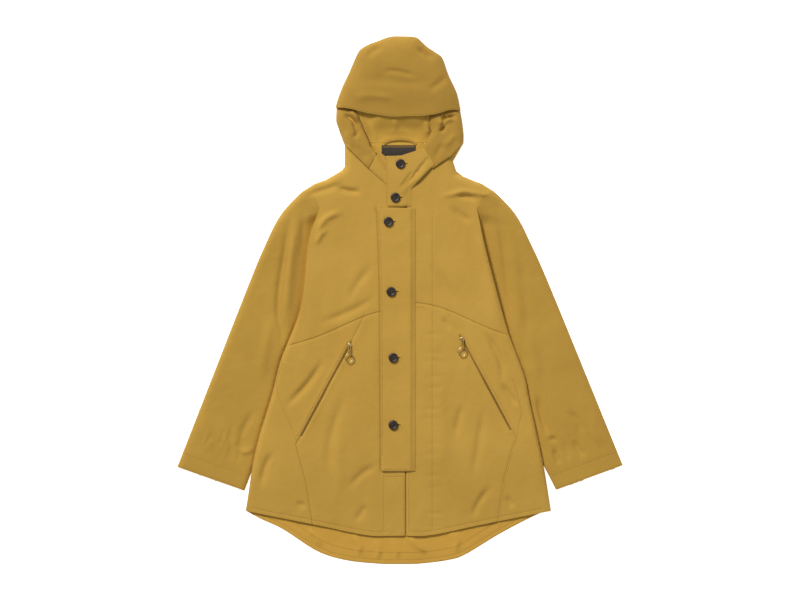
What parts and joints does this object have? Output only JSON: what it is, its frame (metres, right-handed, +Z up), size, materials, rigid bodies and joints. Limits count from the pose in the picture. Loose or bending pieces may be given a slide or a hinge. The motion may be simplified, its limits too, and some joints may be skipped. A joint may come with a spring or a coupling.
{
  "type": "hooded parka",
  "caption": "Hooded thigh-length parka laid flat on its back, front closed by a buttoned storm flap, with slanted zip pockets, a throat latch and a fishtail back.",
  "frame": {"origin": "on the surface the coat lies on, below the middle of its bounding box", "axes": "+X towards the wearer's left sleeve, +Y from hem to hood, +Z up out of the chest"},
  "size_m": [0.9376, 1.109, 0.042],
  "materials": {
    "shell_cloth": "matte tightly woven cotton",
    "hood_cloth": "matte tightly woven cotton, in light shade",
    "facing_cloth": "matte woven cotton",
    "pocketing": "thin plain-woven cotton",
    "label_cloth": "dark woven tape",
    "zip_tape": "woven polyester tape with a moulded coil",
    "button_horn": "polished dark resin",
    "zip_metal": "antique brass"
  },
  "bodies": {
    "torso": {"back_hem_facing": "facing_cloth", "back_panel": "shell_cloth", "back_yoke": "shell_cloth", "button_1": "button_horn", "button_2": "button_horn", "button_3": "button_horn", "button_4": "button_horn", "button_5": "button_horn", "button_6": "button_horn", "collar_front_left": "shell_cloth", "collar_front_right": "shell_cloth", "collar_wing_left": "hood_cloth", "collar_wing_right": "hood_cloth", "front_centre_panel_left": "shell_cloth", "front_centre_panel_right": "shell_cloth", "front_side_panel_left": "shell_cloth", "front_side_panel_right": "shell_cloth", "front_yoke_left": "shell_cloth", "front_yoke_right": "shell_cloth", "hanger_loop": "facing_cloth", "inner_neck_band": "facing_cloth", "neck_label": "label_cloth", "pocket_bag_left": "pocketing", "pocket_bag_right": "pocketing", "pocket_zip_left": "zip_tape", "pocket_zip_right": "zip_tape"},
    "hood": {"hood_brim": "hood_cloth", "hood_centre_panel": "hood_cloth", "hood_cheek_left": "hood_cloth", "hood_cheek_right": "hood_cloth", "hood_side_left": "hood_cloth", "hood_side_right": "hood_cloth"},
    "storm_flap": {"storm_flap": "shell_cloth"},
    "throat_latch": {"throat_latch": "shell_cloth"},
    "sleeve_right": {"cuff_under_right": "shell_cloth", "cuff_upper_right": "shell_cloth", "sleeve_under_right": "shell_cloth", "sleeve_upper_right": "shell_cloth"},
    "zip_slider_right": {"zip_slider_right": "zip_metal"},
    "zip_pull_right": {"pull_tab_right": "zip_tape", "pull_ring_right": "zip_metal"},
    "sleeve_left": {"cuff_under_left": "shell_cloth", "cuff_upper_left": "shell_cloth", "sleeve_under_left": "shell_cloth", "sleeve_upper_left": "shell_cloth"},
    "zip_slider_left": {"zip_slider_left": "zip_metal"},
    "zip_pull_left": {"pull_tab_left": "zip_tape", "pull_ring_left": "zip_metal"}
  },
  "joints": [
    {"name": "pocket_zip_right", "type": "slide", "parent": "torso", "child": "zip_slider_right", "axis": [-0.4726, -0.8813, 0], "range_m": [0, 0.2]},
    {"name": "zip_pull_right", "type": "hinge", "parent": "zip_slider_right", "child": "zip_pull_right", "pos_m": [-0.10625, -0.09538, 0.0226], "axis": [-1, 0, 0], "range_deg": [0, 120]},
    {"name": "sleeve_swing_right", "type": "hinge", "parent": "torso", "child": "sleeve_right", "pos_m": [-0.20953, 0.1565, 0.008], "axis": [0, 0, -1], "range_deg": [0, 35]},
    {"name": "pocket_zip_left", "type": "slide", "parent": "torso", "child": "zip_slider_left", "axis": [0.4726, -0.8813, 0], "range_m": [0, 0.2]},
    {"name": "zip_pull_left", "type": "hinge", "parent": "zip_slider_left", "child": "zip_pull_left", "pos_m": [0.13069, -0.08238, 0.0226], "axis": [-1, 0, 0], "range_deg": [0, 120]},
    {"name": "sleeve_swing_left", "type": "hinge", "parent": "torso", "child": "sleeve_left", "pos_m": [0.20247, 0.1565, 0.008], "axis": [0, 0, 1], "range_deg": [0, 35]},
    {"name": "storm_flap_open", "type": "hinge", "parent": "torso", "child": "storm_flap", "pos_m": [0.03327, -0.0835, 0.0205], "axis": [0, 1, 0], "range_deg": [0, 160]},
    {"name": "throat_latch_open", "type": "hinge", "parent": "torso", "child": "throat_latch", "pos_m": [0.02377, 0.2515, 0.0205], "axis": [0, 1, 0], "range_deg": [0, 150]},
    {"name": "hood_lift", "type": "hinge", "parent": "torso", "child": "hood", "pos_m": [-0.00353, 0.3365, 0.0205], "axis": [1, 0, 0], "range_deg": [0, 60]}
  ]
}
